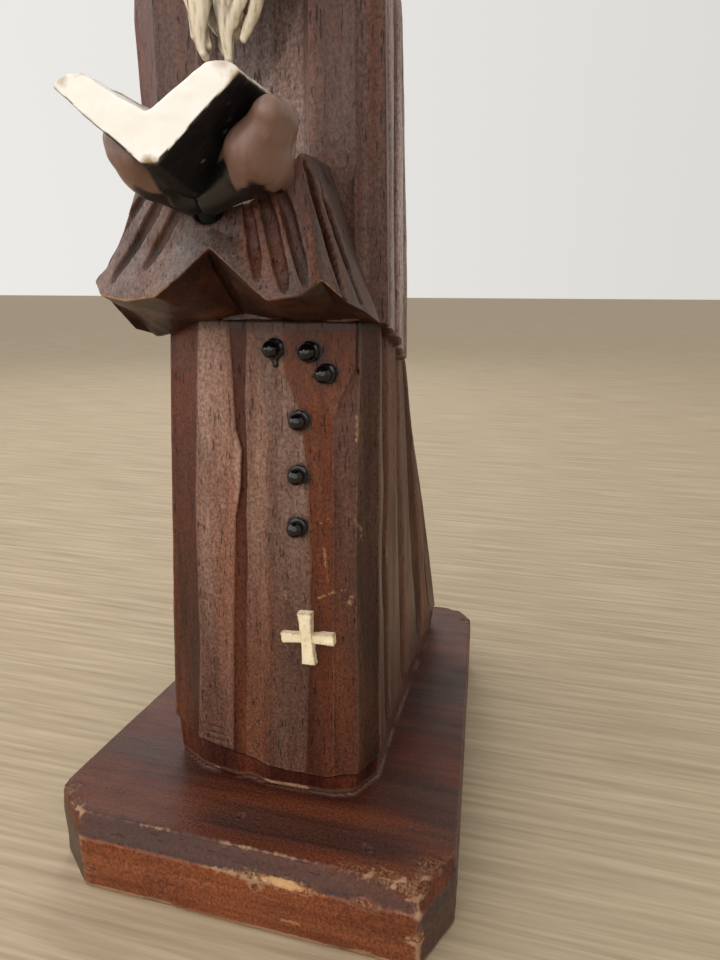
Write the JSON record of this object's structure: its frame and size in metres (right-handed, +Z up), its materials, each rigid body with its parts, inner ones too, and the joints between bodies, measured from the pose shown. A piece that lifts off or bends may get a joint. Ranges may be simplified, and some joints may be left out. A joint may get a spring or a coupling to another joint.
{
  "type": "carved wooden figurine",
  "caption": "Carved walnut-stained wooden figurine of a bearded monk in a long robe reading an open book, rosary beads and a small cross on the skirt, on a bevelled wooden plinth.",
  "frame": {"origin": "middle of the plinth's underside, on the surface it stands on", "axes": "+Z up, the monk faces -Y, +X to the monk's left"},
  "size_m": [0.1059, 0.1506, 0.27],
  "materials": {
    "base_wood": "reddish walnut stain under varnish, worn pale along the bevel",
    "robe_wood": "dark walnut stain, chisel facets, satin varnish",
    "light_wood": "light wood, brown wash in the cuts, matt",
    "book_paint": "black paint on the covers, white paint on the pages",
    "skin_paint": "pink-brown satin paint over carved wood",
    "bone_paint": "cream, bone-like, smooth",
    "bead_black": "gloss black",
    "steel": "plain steel",
    "dowel_beech": "plain beech dowel"
  },
  "bodies": {
    "root": {"base_block": "base_wood", "base_screw_front": "steel", "base_screw_rear": "steel", "bead_pin_1": "steel", "bead_pin_2": "steel", "bead_pin_3": "steel", "bead_pin_4": "steel", "bead_pin_5": "steel", "bead_pin_6": "steel", "book": "book_paint", "book_dowel": "dowel_beech", "cross_bar": "bone_paint", "cross_upright": "bone_paint", "hand_left": "skin_paint", "hand_right": "skin_paint", "head": "light_wood", "neck_dowel": "dowel_beech", "robe_body": "robe_wood", "rosary_bead_1": "bead_black", "rosary_bead_2": "bead_black", "rosary_bead_3": "bead_black", "rosary_bead_4": "bead_black", "rosary_bead_5": "bead_black", "rosary_bead_6": "bead_black", "sleeve_block": "robe_wood", "sleeve_dowel_left": "dowel_beech", "sleeve_dowel_right": "dowel_beech"}
  },
  "joints": []
}
